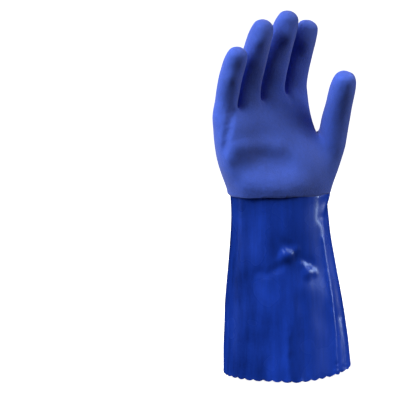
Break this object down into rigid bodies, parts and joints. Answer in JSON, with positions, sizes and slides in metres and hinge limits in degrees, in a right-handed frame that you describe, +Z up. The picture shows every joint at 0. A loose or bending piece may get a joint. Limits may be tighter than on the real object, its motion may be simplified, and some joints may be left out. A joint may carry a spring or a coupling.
{
  "type": "coated gauntlet work glove",
  "caption": "Right-hand dipped work glove with a matte, rough-coated hand, gently bent fingers and a long smooth flared gauntlet with a scalloped hem.",
  "frame": {"origin": "middle of the open hem of the gauntlet, in the plane of the hem's lowest points", "axes": "+Z up the gauntlet to the fingertips, -Y the way the palm faces, +X the thumb's side"},
  "size_m": [0.1224, 0.0796, 0.3],
  "materials": {
    "rough_coat": "matte, fine sandy grain",
    "smooth_coat": "smooth and semi-gloss over a fine vertical knit"
  },
  "bodies": {
    "root": {"hand": "rough_coat", "gauntlet": "smooth_coat"}
  },
  "joints": []
}
